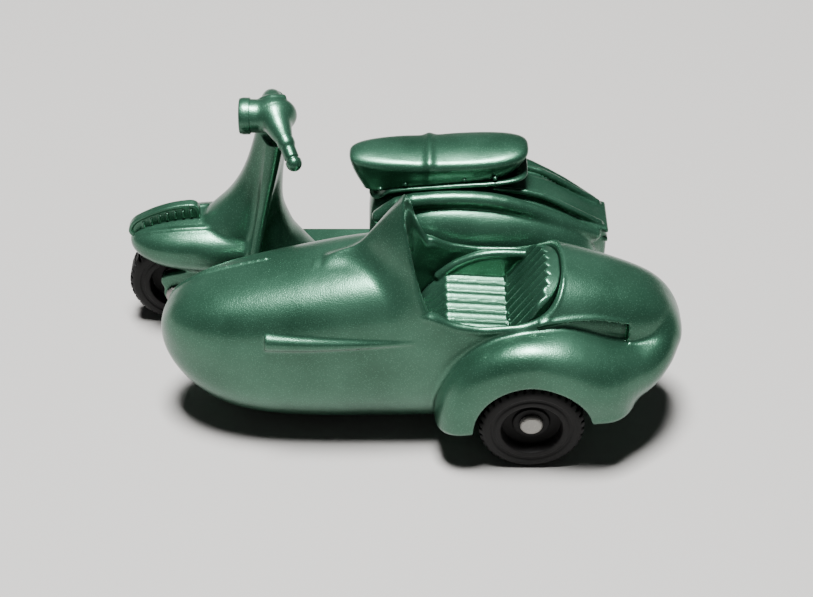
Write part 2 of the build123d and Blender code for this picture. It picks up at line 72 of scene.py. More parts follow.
def join(a: Array, b: Array, blend: float) -> Array:
    """Union of two fields with a fillet about as wide as blend: the polynomial smooth minimum."""
    share = np.clip(0.5 + 0.5 * (b - a) / blend, 0.0, 1.0)
    return b + (a - b) * share - blend * share * (1.0 - share)


def cut(a: Array, b: Array, blend: float = 0.12) -> Array:
    """Field a with b taken away, its new edges rounded by blend."""
    return -join(-a, b, blend)


def both(a: Array, b: Array, blend: float = 0.12) -> Array:
    """What is inside a and b alike, its edges rounded by blend."""
    return -join(-a, -b, blend)


def power_norm(a: Array, b: Array, power: float) -> Array:
    """Superellipse norm of two coordinates: (|a|^p + |b|^p)^(1/p)."""
    return (np.abs(a) ** power + np.abs(b) ** power) ** (1.0 / power)


def ramp(value: Array, start: float, end: float) -> Array:
    """Smooth step from 0 at start to 1 at end."""
    share = np.clip((value - start) / (end - start), 0.0, 1.0)
    return share * share * (3.0 - 2.0 * share)


class Curve:
    """A smooth curve near a few (x, value) points: straight runs, softened by a Gaussian."""

    def __init__(self, points: Sequence[tuple[float, float]], softness: float = 1.0) -> None:
        """Builds the lookup table.

        Args:
            points: (x, value) pairs in rising x.
            softness: The Gaussian's standard deviation, in millimetres.
        """
        known = np.array(points, float)
        step = 0.05
        self.x = np.arange(known[0, 0] - 4 * softness, known[-1, 0] + 4 * softness, step)
        raw = np.interp(self.x, known[:, 0], known[:, 1])
        reach = max(1, int(3 * softness / step))
        kernel = np.exp(-0.5 * (np.arange(-reach, reach + 1) * step / softness) ** 2)
        padded = np.pad(raw, reach, mode="edge")
        self.value = np.convolve(padded, kernel / kernel.sum(), mode="valid")

    def __call__(self, x: Array) -> Array:
        """Value at each x."""
        return np.interp(x, self.x, self.value).astype(np.float32)


def smooth_path(points: Sequence[Sequence[float]], count: int) -> Array:
    """Catmull-Rom curve through rows of numbers.

    Args:
        points: Rows such as (x, y, z) or (x, y, z, radius).
        count: How many rows come back.

    Returns:
        Rows evenly spaced in the curve's parameter.
    """
    p = np.array(points, float)
    p = np.vstack([2 * p[0] - p[1], p, 2 * p[-1] - p[-2]])
    t = np.linspace(0, len(p) - 3 - 1e-9, count)
    i = t.astype(int)
    u = (t - i)[:, None]
    a, b, c, d = p[i], p[i + 1], p[i + 2], p[i + 3]
    return 0.5 * (2 * b + (c - a) * u + (2 * a - 5 * b + 4 * c - d) * u**2 + (3 * b - a - 3 * c + d) * u**3)


def rope(points: Sequence[Sequence[float]], count: int = 14, mirror: bool = False) -> Field:
    """Field of a round bar along a smooth path, whose radius may change along it.

    Args:
        points: Rows (x, y, z, radius) that the path goes through.
        count: How many straight pieces stand for the path.
        mirror: Whether the bar is repeated on the other side of y = 0.

    Returns:
        The distance to the nearest piece's axis, less the radius there.
    """
    rows = smooth_path(points, count + 1).astype(np.float32)

    def value(x: Array, y: Array, z: Array) -> Array:
        """Distance to the nearest piece, less its radius."""
        if mirror:
            y = np.abs(y)
        nearest = np.full(np.shape(x), 1e3, np.float32)
        for start, end in zip(rows, rows[1:]):
            run = end[:3] - start[:3]
            dx, dy, dz = x - start[0], y - start[1], z - start[2]
            share = np.clip((dx * run[0] + dy * run[1] + dz * run[2]) / max(float(run @ run), 1e-9), 0, 1)
            gap = np.sqrt((dx - share * run[0]) ** 2 + (dy - share * run[1]) ** 2
                          + (dz - share * run[2]) ** 2)
            nearest = np.minimum(nearest, gap - (start[3] + (end[3] - start[3]) * share))
        return nearest

    return value


def slab(x: Array, low: float, high: float) -> Array:
    """Field of the space between two parallel planes."""
    return np.maximum(low - x, x - high)


def box_field(x: Array, y: Array, z: Array, centre: Sequence[float], half: Sequence[float],
              edge: float) -> Array:
    """Field of a box whose edges are rounded by edge."""
    gaps = [np.abs(v - c) - h + edge for v, c, h in zip((x, y, z), centre, half)]
    outside = np.sqrt(sum(np.maximum(g, 0) ** 2 for g in gaps))
    return outside + np.minimum(np.maximum(np.maximum(gaps[0], gaps[1]), gaps[2]), 0) - edge


def wheel_room(x: Array, y: Array, z: Array, centre: Sequence[float], radius: float, half: float) -> Array:
    """Field of the space that a wheel needs: a disc slot round centre (x, y, z), open downwards."""
    across = np.hypot(x - centre[0], np.maximum(z - centre[2], 0)) - radius
    return np.maximum(across, np.abs(y - centre[1]) - half)


# ---- from fields and profiles to meshes ----------------------------------------------------------


@dataclass
class CastingMesher:
    """Turns a field into a closed quad mesh by dual contouring.

    Each grid cell that the surface passes through gets one point: the one nearest, by least squares, to
    the planes that touch the surface where it crosses the cell's edges. So flats stay flat and sharp
    edges stay sharp. The hold is how firmly a point is kept near the mean of those crossings.
    """

    low: tuple[float, float, float]
    high: tuple[float, float, float]
    step: float
    hold: float = 0.05

    def sample(self, shape: Field) -> tuple[Array, list[Array]]:
        """Field values on the grid, worked out closely only near the surface.

        Args:
            shape: The field.

        Returns:
            The values, and the grid's coordinates along each axis.
        """
        span = 4
        cells = [math.ceil((h - l) / (self.step * span)) for l, h in zip(self.low, self.high)]
        axes = [l + self.step * np.arange(span * n + 1, dtype=np.float32) for l, n in zip(self.low, cells)]
        coarse = shape(*np.meshgrid(*[a[::span] for a in axes], indexing="ij"))
        nearest = np.ix_(*[np.minimum((np.arange(span * n + 1) + span // 2) // span, n) for n in cells])
        values = coarse[nearest].astype(np.float32)
        close = (np.abs(coarse) < span * self.step * 1.9)[nearest]
        where = np.nonzero(close)
        values[where] = shape(*[a[w] for a, w in zip(axes, where)])
        return values, axes

    def build(self, shape: Field) -> tuple[Array, Array]:
        """Meshes the field.

        Args:
            shape: The field, positive all round the grid's rim.

        Returns:
            Points (n, 3) in millimetres, and quads (m, 4) whose corners run anticlockwise seen from outside.
        """
        values, axes = self.sample(shape)
        inside = values < 0
        cells = np.array(values.shape) - 1
        spots, normals, owners, flips = [], [], [], []
        for axis in range(3):
            first = [slice(None)] * 3
            second = [slice(None)] * 3
            first[axis], second[axis] = slice(0, -1), slice(1, None)
            where = np.argwhere(inside[tuple(first)] != inside[tuple(second)])
            ahead = where + np.eye(3, dtype=int)[axis]
            start = np.stack([axes[i][where[:, i]] for i in range(3)], 1)
            near, far = values[tuple(where.T)], values[tuple(ahead.T)]
            left, right = np.zeros(len(where), np.float32), np.ones(len(where), np.float32)
            a, b = near.copy(), far.copy()
            for _ in range(3):
                share = left + (right - left) * a / (a - b)
                spot = start.copy()
                spot[:, axis] += share * self.step
                here = shape(*spot.T)
                same = (here < 0) == (a < 0)
                left, a = np.where(same, share, left), np.where(same, here, a)
                right, b = np.where(same, right, share), np.where(same, b, here)
            tiny = self.step * 0.2
            slope = np.stack([shape(*(spot + tiny * e).T) - shape(*(spot - tiny * e).T)
                              for e in np.eye(3, dtype=np.float32)], 1)
            slope /= np.maximum(np.linalg.norm(slope, axis=1, keepdims=True), 1e-9)
            side, up = (axis + 1) % 3, (axis + 2) % 3
            corners = []
            for s, u in ((-1, -1), (0, -1), (0, 0), (-1, 0)):
                cell = where.copy()
                cell[:, side] += s
                cell[:, up] += u
                corners.append(np.ravel_multi_index(tuple(cell.T), tuple(cells)))
            spots.append(spot)
            normals.append(slope)
            owners.append(np.stack(corners, 1))
            flips.append(near >= 0)
        spot, normal = np.vstack(spots).astype(float), np.vstack(normals).astype(float)
        owner, flip = np.vstack(owners), np.concatenate(flips)
        used, quads = np.unique(owner, return_inverse=True)
        quads = quads.reshape(owner.shape)
        which = quads.ravel()
        spot4, normal4 = np.repeat(spot, 4, axis=0), np.repeat(normal, 4, axis=0)
        count = np.bincount(which).astype(float)

        def total(weights: Array) -> Array:
            """Sum of the weights in each used cell."""
            return np.bincount(which, weights=weights, minlength=len(used))

        middle = np.stack([total(spot4[:, i]) for i in range(3)], 1) / count[:, None]
        matrix = np.empty((len(used), 3, 3))
        for i in range(3):
            for j in range(3):
                matrix[:, i, j] = total(normal4[:, i] * normal4[:, j])
        reach = np.einsum("ij,ij->i", normal4, spot4 - middle[which])
        pull = np.stack([total(normal4[:, i] * reach) for i in range(3)], 1)
        matrix += self.hold * count[:, None, None] * np.eye(3)
        points = middle + np.linalg.solve(matrix, pull[:, :, None])[:, :, 0]
        cell = np.stack(np.unravel_index(used, tuple(cells)), 1)
        corner = np.array(self.low) + cell * self.step
        points = np.clip(points, corner, corner + self.step)
        quads[flip] = quads[flip][:, ::-1]
        return points, quads


def lathe(profile: Array, turns: int,
          ripple: Callable[[Array, Array], Array] | None = None) -> tuple[Array, Array]:
    """Surface of revolution about y: each profile point (radius, y) is carried round the axis.

    Args:
        profile: Closed loop of (radius, y) rows; its order runs so that the surface faces outwards.
        turns: Columns round the axis.
        ripple: Optional function of (turn angle, profile row number) that is added to the radius.

    Returns:
        Points (n, 3) and quads (m, 4).
    """
    angle = np.linspace(0, 2 * np.pi, turns, endpoint=False)
    row = np.arange(len(profile))
    radius = np.broadcast_to(profile[None, :, 0], (turns, len(profile))).copy()
    if ripple is not None:
        radius += ripple(angle[:, None], row[None, :])
    points = np.stack([radius * np.cos(angle)[:, None],
                       np.broadcast_to(profile[None, :, 1], radius.shape),
                       radius * np.sin(angle)[:, None]], -1).reshape(-1, 3)
    return points, ring_quads(turns, len(profile), True, True)


def ring_quads(rows: int, columns: int, close_rows: bool, close_columns: bool) -> Array:
    """Corner numbers of the quads of a rows by columns grid, joined end to end where asked."""
    i = np.arange(rows if close_rows else rows - 1)[:, None]
    j = np.arange(columns if close_columns else columns - 1)[None, :]
    a = i * columns + j
    b = i * columns + (j + 1) % columns
    c = ((i + 1) % rows) * columns + (j + 1) % columns
    d = ((i + 1) % rows) * columns + j
    return np.stack(np.broadcast_arrays(a, b, c, d), -1).reshape(-1, 4)


def rounded_loop(corners: Sequence[tuple[float, float, float]], steps: int = 5) -> Array:
    """Closed plane loop of straight runs with rounded corners.

    Args:
        corners: (a, b, radius) rows.
        steps: Points on each rounded corner.

    Returns:
        Rows (a, b): each corner is a quadratic curve from one tangent point to the next.
    """
    p = np.array([c[:2] for c in corners], float)
    reach = np.array([c[2] for c in corners], float)
    before, after = np.roll(p, 1, axis=0) - p, np.roll(p, -1, axis=0) - p
    before /= np.linalg.norm(before, axis=1, keepdims=True)
    after /= np.linalg.norm(after, axis=1, keepdims=True)
    start, end = p + before * reach[:, None], p + after * reach[:, None]
    t = np.linspace(0, 1, steps)[None, :, None]
    loop = (1 - t) ** 2 * start[:, None] + 2 * t * (1 - t) * p[:, None] + t**2 * end[:, None]
    return loop.reshape(-1, 2)


def make_mesh(name: str, points: Array, quads: Array, sharp: float = 40.0) -> bpy.types.Object:
    """Makes an object from points in metres in the row frame.

    Args:
        name: The piece's name.
        points: (n, 3) coordinates.
        quads: (m, 4) corner numbers, anticlockwise from outside.
        sharp: Edges that turn by more than this many degrees are shaded sharp.

    Returns:
        The new object, linked to the scene.
    """
    mesh = bpy.data.meshes.new(name)
    mesh.vertices.add(len(points))
    mesh.vertices.foreach_set("co", np.ascontiguousarray(points, np.float32).ravel())
    mesh.loops.add(quads.size)
    mesh.loops.foreach_set("vertex_index", quads.astype(np.int32).ravel())
    mesh.polygons.add(len(quads))
    mesh.polygons.foreach_set("loop_start", np.arange(0, quads.size, 4, dtype=np.int32))
    mesh.update(calc_edges=True)
    mesh.validate()
    mesh.shade_smooth()
    mesh.set_sharp_from_angle(angle=math.radians(sharp))
    made = bpy.data.objects.new(name, mesh)
    bpy.context.scene.collection.objects.link(made)
    return made


# ---- finishes ------------------------------------------------------------------------------------


class Nodes:
    """Short way to add and wire shader nodes in one tree."""

    def __init__(self, tree: bpy.types.NodeTree) -> None:
        """Keeps the tree."""
        self.tree = tree

    def add(self, kind: str, **values: object) -> bpy.types.Node:
        """Adds a node and sets its properties, or its input sockets where the name is one of theirs."""
        node = self.tree.nodes.new(kind)
        for key, value in values.items():
            if hasattr(node, key):
                setattr(node, key, value)
            else:
                node.inputs[key.replace("_", " ")].default_value = value
        return node

    def wire(self, source: bpy.types.NodeSocket, target: bpy.types.NodeSocket) -> None:
        """Joins an output to an input."""
        self.tree.links.new(source, target)

    def math(self, kind: str, a: object, b: object) -> bpy.types.NodeSocket:
        """A Math node on two sockets or numbers; returns its output."""
        node = self.add("ShaderNodeMath", operation=kind)
        for socket, value in zip(node.inputs, (a, b)):
            if isinstance(value, bpy.types.NodeSocket):
                self.wire(value, socket)
            else:
                socket.default_value = value
        return node.outputs[0]


def socket(tree: bpy.types.NodeTree, name: str, way: str, kind: str, default: float | None = None) -> None:
    """Adds a named socket to a node group's interface."""
    made = tree.interface.new_socket(name=name, in_out=way, socket_type=kind)
    if default is not None:
        made.default_value = default


def skin_group() -> bpy.types.NodeTree:
    """Surface of a sprayed or moulded skin, on Object coordinates.

    Height is a slow orange-peel wave plus fine grain. Mottle is a slow cloud from 0 to 1, and Speck marks
    the few points where a fine cell pattern peaks, such as metal flakes or dust.

    Returns:
        The node group.
    """
    tree = bpy.data.node_groups.new("sprayed_skin", "ShaderNodeTree")
    for name, default in (("Peel Scale", 900.0), ("Peel Height", 0.6), ("Grain Scale", 9000.0),
                          ("Grain Height", 0.25), ("Cloud Scale", 120.0), ("Speck Scale", 6000.0)):
        socket(tree, name, "INPUT", "NodeSocketFloat", default)
    for name in ("Height", "Mottle", "Speck"):
        socket(tree, name, "OUTPUT", "NodeSocketFloat")
    n = Nodes(tree)
    given, out = n.add("NodeGroupInput"), n.add("NodeGroupOutput")
    place = n.add("ShaderNodeTexCoord").outputs["Object"]

    def noise(scale: str, detail: float) -> bpy.types.NodeSocket:
        """Noise on Object coordinates at the scale of the named input."""
        node = n.add("ShaderNodeTexNoise", Detail=detail)
        n.wire(place, node.inputs["Vector"])
        n.wire(given.outputs[scale], node.inputs["Scale"])
        return node.outputs["Fac"]

    peel = n.math("MULTIPLY", noise("Peel Scale", 1.5), given.outputs["Peel Height"])
    grain = n.math("MULTIPLY", noise("Grain Scale", 2.0), given.outputs["Grain Height"])
    n.wire(n.math("ADD", peel, grain), out.inputs["Height"])
    cloud = n.add("ShaderNodeMapRange", From_Min=0.3, From_Max=0.7)
    n.wire(noise("Cloud Scale", 3.0), cloud.inputs["Value"])
    n.wire(cloud.outputs["Result"], out.inputs["Mottle"])
    cell = n.add("ShaderNodeTexVoronoi")
    n.wire(place, cell.inputs["Vector"])
    n.wire(given.outputs["Speck Scale"], cell.inputs["Scale"])
    dot = n.add("ShaderNodeMapRange", From_Min=0.32, From_Max=0.12)
    n.wire(cell.outputs["Distance"], dot.inputs["Value"])
    n.wire(dot.outputs["Result"], out.inputs["Speck"])
    return tree


@dataclass(frozen=True)
class Finish:
    """One finish: its colours, its shine, and how strongly the skin's patterns show in them."""

    name: str
    slot: str
    dark: tuple[float, float, float]
    light: tuple[float, float, float]
    metallic: float
    rough: float
    rough_swing: float
    coat: float
    coat_rough: float
    peel: float
    grain: float
    speck: float
    bump: float
    specular: float

    def make(self, skin: bpy.types.NodeTree) -> bpy.types.Material:
        """Builds the material: the skin group drives colour, roughness and bump of one Principled shader.

        Args:
            skin: The sprayed_skin node group.

        Returns:
            The material.
        """
        made = bpy.data.materials.new(self.name)
        made.use_nodes = True
        n = Nodes(made.node_tree)
        shader = made.node_tree.nodes["Principled BSDF"]
        shader.inputs["Metallic"].default_value = self.metallic
        shader.inputs["Specular IOR Level"].default_value = self.specular
        shader.inputs["Coat Weight"].default_value = self.coat
        shader.inputs["Coat Roughness"].default_value = self.coat_rough
        group = n.add("ShaderNodeGroup", node_tree=skin)
        group.inputs["Peel Height"].default_value = self.peel
        group.inputs["Grain Height"].default_value = self.grain
        tint = n.add("ShaderNodeMix", data_type="RGBA")
        tint.inputs["A"].default_value = (*self.dark, 1)
        tint.inputs["B"].default_value = (*self.light, 1)
        share = n.math("ADD", n.math("MULTIPLY", group.outputs["Mottle"], 0.6),
                       n.math("MULTIPLY", group.outputs["Speck"], self.speck))
        n.wire(share, tint.inputs["Factor"])
        n.wire(tint.outputs["Result"], shader.inputs["Base Color"])
        n.wire(n.math("ADD", n.math("MULTIPLY", group.outputs["Mottle"], self.rough_swing), self.rough),
               shader.inputs["Roughness"])
        bump = n.add("ShaderNodeBump", Strength=self.bump, Distance=0.00008)
        n.wire(group.outputs["Height"], bump.inputs["Height"])
        n.wire(bump.outputs["Normal"], shader.inputs["Normal"])
        return made


class Look(Enum):
    """The toy's finishes."""

    ENAMEL = Finish("green_enamel", "green_paint", (0.022, 0.075, 0.044), (0.07, 0.185, 0.12),
                    0.82, 0.29, 0.07, 0.3, 0.2, 0.5, 0.6, 0.8, 0.4, 0.5)
    PLASTIC = Finish("black_plastic", "black_plastic", (0.002, 0.002, 0.002), (0.007, 0.0068, 0.0066),
                     0.0, 0.55, 0.14, 0.0, 0.3, 0.35, 0.5, 0.15, 0.3, 0.25)
    ZINC = Finish("bare_axle", "bare_axle", (0.24, 0.235, 0.22), (0.5, 0.49, 0.46),
                  0.9, 0.42, 0.2, 0.0, 0.3, 0.8, 0.9, 0.4, 0.6, 0.5)


@dataclass
class Workshop:
    """Turns meshes in millimetres into finished pieces: the row frame's anchors and the materials."""

    rear_x: float
    scooter_y: float
    sidecar_y: float
    materials: dict[Look, bpy.types.Material] = field(default_factory=dict)

    @classmethod
    def from_frame(cls) -> "Workshop":
        """Reads the anchors off the CAD nodes' boxes."""
        low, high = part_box("rear_wheel")
        shell_low, shell_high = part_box("sidecar_shell")
        made = cls(rear_x=(low.x + high.x) / 2 / MM, scooter_y=(low.y + high.y) / 2 / MM,
                   sidecar_y=(shell_low.y + shell_high.y) / 2 / MM)
        skin = skin_group()
        made.materials = {look: look.value.make(skin) for look in Look}
        return made

    def finish(self, name: str, mesh: tuple[Array, Array], plane_y: float, look: Look, body: str,
               nodes: Sequence[str], sharp: float = 75.0) -> bpy.types.Object:
        """Places, dresses and mounts one piece.

        Args:
            name: The piece's name.
            mesh: Points in millimetres from the rear axle and the given centre plane, and quads.
            plane_y: Where that centre plane is in the row frame.
            look: The finish.
            body: The CAD body that the piece rides on.
            nodes: The CAD nodes that it stands for.
            sharp: Edges steeper than this are shaded sharp.

        Returns:
            The finished piece.
        """
        points, quads = mesh
        place = np.array([self.rear_x, plane_y, 0.0])
        piece = make_mesh(name, (points + place) * MM, quads, sharp)
        piece.data.materials.append(self.materials[look])
        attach(piece, body)
        if nodes:
            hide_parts(*nodes)
        LOG.info("%s: %d faces", name, len(quads))
        return piece

    def dress(self, node: str, look: Look) -> None:
        """Gives a CAD node that keeps its own shape a finish."""
        piece = bpy.data.objects[node]
        piece.data.materials.clear()
        piece.data.materials.append(self.materials[look])
        LOG.info("%s keeps its CAD shape", node)


# ---- sidecar -------------------------------------------------------------------------------------


@dataclass
class SidecarBody:
    """Sidecar casting: egg-shaped body, windscreen cowl, cockpit edge, mudguard and side flash."""

    nose: float = -33.3
    tail: float = 13.75
    section_power: float = 2.85
    wheel_room_radius: float = 5.25
    wheel_y: float = -7.6
    wheel_z: float = 4.7
    cockpit_x: float = -4.35
    cockpit_half_length: float = 6.85
    cockpit_half_width: float = 5.35
    cockpit_power: float = 2.8
    cockpit_floor: float = 7.0
    coaming_x: float = 2.55
    lip_radius: float = 0.3
    screen_tip: tuple[float, float] = (-11.3, 23.6)
    screen_wall: float = 0.75
    screen_base: float = 14.0
    screen_rise: float = 1.25
    guard_foot: tuple[float, float] = (4.75, 0.12)
    step: float = 0.187
    width: Curve = field(default_factory=lambda: Curve(
        ((-33.3, 8.8), (-27.5, 8.0), (-20.5, 6.95), (-14.6, 6.4), (-9, 6.22), (-3, 6.4), (2, 6.75), (6, 7.0),
         (9.6, 7.5), (13.7, 9.2)), 1.6))
    height: Curve = field(default_factory=lambda: Curve(
        ((-33.3, 10.2), (-27.6, 9.3), (-24.5, 8.8), (-20.5, 8.45), (-14.6, 8.45), (-9, 8.5), (-3, 8.65),
         (2, 8.8), (6, 9.0), (9.6, 9.5), (13.7, 12.0)), 1.6))
    middle: Curve = field(default_factory=lambda: Curve(
        ((-33.3, 9.4), (-30.4, 8.7), (-27.6, 8.35), (-24.5, 8.4), (-20.5, 8.75), (-14.6, 9.4), (-9, 9.65),
         (-3, 9.5), (2, 9.35), (6, 9.2), (13.7, 9.1)), 1.6))
    screen_width: Curve = field(default_factory=lambda: Curve(
        ((-18, 0.2), (-16.2, 0.3), (-15, 1.3), (-14.2, 2.2), (-12.9, 3.7), (-11.7, 4.65), (-10.6, 5.15),
         (-9.3, 5.35), (-5, 5.4)), 0.5))
    screen_rear: Curve = field(default_factory=lambda: Curve(
        ((11.0, -7.9), (13.5, -8.4), (15.2, -9.3), (17.0, -9.95), (19.3, -10.4), (21.0, -10.75),
         (24.0, -11.3)), 0.6))
    cockpit_edge_z: Curve = field(default_factory=lambda: Curve(
        ((-12, 15.2), (-8.6, 14.9), (-7.2, 14.0), (-4.6, 13.5), (-1.0, 13.6), (0.6, 14.1),
         (1.8, 15.0), (2.6, 16.5), (3.4, 18.5)), 0.45))
    shelf_z: Curve = field(default_factory=lambda: Curve(
        ((-1, 14.1), (1, 14.2), (3, 14.3), (5.6, 14.05), (8.3, 13.15), (10, 12.5)), 0.8))

    def body(self, x: Array, y: Array, z: Array) -> Array:
        """Egg: superellipse sections that shrink to both ends as a half circle times a slow curve."""
        centre, half = (self.nose + self.tail) / 2, (self.tail - self.nose) / 2
        along = (x - centre) / half
        width, height = self.width(x), self.height(x)
        across = power_norm(y / width, (z - self.middle(x)) / height, self.section_power)
        size = np.hypot(along, across)
        slope = np.hypot(along / half, across / np.minimum(width, height))
        return (size - 1) * np.maximum(size, 1e-3) / np.maximum(slope, 1e-4)

    def panel_drop(self, x: Array, y: Array, z: Array) -> Array:
        """Depth of the sunk panel ahead of the tail, which grows rearwards to a step."""
        rearward = ramp(x, 0.5, 7.0) * ramp(x, 8.5, 8.25)
        below = ramp(z, self.shelf_z(x) + 0.05, self.shelf_z(x) - 0.25)
        return 0.6 * rearward * below * ramp(y, -2.0, -3.0)

    def screen(self, x: Array, y: Array, z: Array) -> Array:
        """Peaked cowl: arch sections that rise to the tip, cut off behind along a raked curve."""
        tip_x, tip_z = self.screen_tip
        above = z - self.screen_base
        rise = np.maximum(tip_z + self.screen_rise * (x - tip_x) - self.screen_base, 0.5)
        width = self.screen_width(x) * (1 - 0.12 * ramp(z, 14.6, 12.6))
        arch = power_norm(y / width, np.maximum(above, 0) / rise, 1.9) - 1
        arch = arch * np.minimum(width, rise) * 0.8
        hood = both(arch, (x - self.screen_rear(z)) * 0.95, 0.15)
        return np.maximum(hood, np.maximum(12.4 - z, -18.5 - x))

    def mudguard(self, x: Array, y: Array, z: Array) -> Array:
        """Wheel cover: a disc's rim thickened to a rounded shoulder."""
        around = np.hypot(x - 0.25, z - self.wheel_z) - 6.1
        shoulder = power_norm(np.maximum(around, 0), y + 6.65, 2.3) - 2.75
        return both(shoulder, self.guard_edge(x, z), 0.8)

    def guard_edge(self, x: Array, z: Array) -> Array:
        """Field of what is above the wheel cover's lower edge, a line that rises rearwards."""
        height, slope = self.guard_foot
        return height + slope * x - z

    def lobe(self, x: Array, y: Array, z: Array) -> Array:
        """Rear of the wheel cover: a thick tapering rope that runs in and up to the tail."""
        run = rope(((2.5, -5.9, 9.6, 3.4), (5.8, -6.1, 8.8, 3.25), (8.6, -5.1, 8.5, 2.6),
                    (10.6, -3.8, 9.1, 2.0), (11.8, -2.3, 9.9, 1.4)), 28)
        return both(run(x, y, z), self.guard_edge(x, z), 0.8)

    def cockpit_edge(self, x: Array, y: Array) -> Array:
        """Field in plan of the cockpit's outline, a superellipse."""
        norm = power_norm((x - self.cockpit_x) / self.cockpit_half_length, y / self.cockpit_half_width,
                          self.cockpit_power)
        return (norm - 1) * self.cockpit_half_width

    def flash(self, x: Array, y: Array, z: Array) -> Array:
        """Side flash: a tapering half-round spear with a square front end."""
        spear = rope(((-23.6, -5.35, 12.0, 0.85), (-20.0, -5.75, 12.1, 0.72), (-15.0, -6.05, 12.3, 0.42),
                      (-10.5, -6.1, 12.45, 0.1)), 8)(x, y, z)
        return both(spear, -23.5 - x, 0.15)

    def ridges(self, x: Array, y: Array, z: Array, shell: Array) -> Array:
        """Thin beads on the skin: the die's parting line along the top, and the shelf over the sunk panel."""
        parting = np.maximum(np.hypot(y - 1.9, shell) - 0.11, slab(x, -32.9, -23.5))
        shelf = np.hypot(z - self.shelf_z(x), shell + 0.03) - 0.24 + 0.1 * ramp(x, 2.0, 8.0)
        shelf = np.maximum(np.maximum(shelf, slab(x, 0.4, 8.4)), y + 2.0)
        return np.minimum(parting, shelf)

    def field(self, x: Array, y: Array, z: Array) -> Array:
        """The whole casting."""
        shell = self.body(x, y, z)
        outer = shell + self.panel_drop(x, y, z)
        outer = join(outer, self.ridges(x, y, z, shell), 0.2)
        outer = join(outer, self.screen(x, y, z), 1.2)
        outer = join(outer, self.flash(x, y, z), 0.25)
        rim_z = self.cockpit_edge_z(x)
        above = np.maximum((rim_z - z) * 0.9, slab(x, self.screen_rear(z), self.coaming_x + 0.6))
        opened = cut(outer, above, 0.3)
        lip = np.hypot((z - rim_z) * 0.9, outer + 0.25) - self.lip_radius
        lip = np.maximum(lip, slab(x, -9.7, self.coaming_x + 0.1))
        made = join(opened, lip, 0.2)
        guard = join(self.mudguard(x, y, z), self.lobe(x, y, z), 1.2)
        made = join(made, guard, 0.5 + 1.0 * ramp(x, 10.0, 12.5))
        tip_x, tip_z = self.screen_tip
        hood = (tip_x - (tip_z - z) / self.screen_rise + self.screen_wall - x) * 0.75
        tub = np.maximum(np.maximum(self.cockpit_edge(x, y), self.cockpit_floor - z), hood)
        made = cut(made, tub, 0.3)
        room = wheel_room(x, y, z, (0.1, self.wheel_y - 2.4, self.wheel_z), self.wheel_room_radius, 4.2)
        made = cut(made, room, 0.25)
        plan = (power_norm((x + 9.5) / 17.0, y / 4.3, 2.6) - 1) * 4.3
        return cut(made, np.maximum(plan, z - 2.4), 0.3)

    def build(self, shop: Workshop) -> None:
        """Meshes and mounts the casting."""
        mesher = CastingMesher((-34.2, -10.6, 0.4), (14.8, 7.2, 25.2), self.step)
        shop.finish("sidecar_body", mesher.build(self.field), shop.sidecar_y, Look.ENAMEL, "toy",
                    ("sidecar_shell", "sidecar_screen", "sidecar_mudguard", "sidecar_strake"))


@dataclass
class SidecarSeat:
    """Seat pan in the cockpit: ribbed cushion, ribbed back and a roll along one side."""

    shell: SidecarBody
    rib_height: float = 0.34
    cushion_pitch: float = 1.35
    back_pitch: float = 1.05
    step: float = 0.13

    def cross(self, x: Array, z: Array) -> Array:
        """Field in side view of the folded sheet: front slope, cushion, reclined back."""
        path = ((-11.2, 7.3), (-9.8, 8.7), (-7.3, 11.3), (-1.9, 10.9), (3.3, 18.6))
        nearest = np.full(np.shape(x), 1e3, np.float32)
        for (x0, z0), (x1, z1) in zip(path, path[1:]):
            run = (x1 - x0, z1 - z0)
            share = np.clip(((x - x0) * run[0] + (z - z0) * run[1]) / (run[0] ** 2 + run[1] ** 2), 0, 1)
            nearest = np.minimum(nearest, np.hypot(x - x0 - share * run[0], z - z0 - share * run[1]))
        return nearest - 0.32

    def field(self, x: Array, y: Array, z: Array) -> Array:
        """Sheet with rounded ribs across it, the size of a cosine, limited to the cockpit's width."""
        sheet = self.cross(x, z)
        pitch = self.cushion_pitch + (self.back_pitch - self.cushion_pitch) * ramp(x, -2.1, -1.9)
        sheet = sheet - self.rib_height * np.abs(np.cos(np.pi * (y - 0.1) / pitch))
        behind = (-1.9 + (z - 10.9) * 0.675 - x) * 0.83
        sheet = join(sheet, np.maximum(behind, 9.0 - z), 0.1)
        crown = ((-8.1, 11.5), (-6.9, 12.6), (-5.4, 13.5), (-4.0, 13.95), (-2.4, 14.1), (-0.4, 14.0))
        roll = rope([(at, 4.35, height, 0.45) for at, height in crown], 12)(x, y, z)
        arc = np.hypot((x + 2.6) / 1.02, z - 8.6) - 5.5
        panel = np.maximum(np.maximum(arc, slab(y, 4.05, 6.0)), np.maximum(10.8 - z, -8.0 - x))
        sheet = join(sheet, join(panel, roll, 0.15), 0.15)
        sheet = np.maximum(sheet, -x - 11.0)
        sheet = both(sheet, self.shell.body(x, y, z) + 0.45, 0.2)
        return np.maximum(sheet, self.shell.cockpit_edge(x, y) + 0.08)

    def build(self, shop: Workshop) -> None:
        """Meshes and mounts the seat pan."""
        mesher = CastingMesher((-12.0, -5.8, 6.4), (3.7, 5.8, 18.9), self.step)
        shop.finish("sidecar_seat_pan", mesher.build(self.field), shop.sidecar_y, Look.ENAMEL, "toy",
                    ("sidecar_seat",))


# ---- scooter -------------------------------------------------------------------------------------


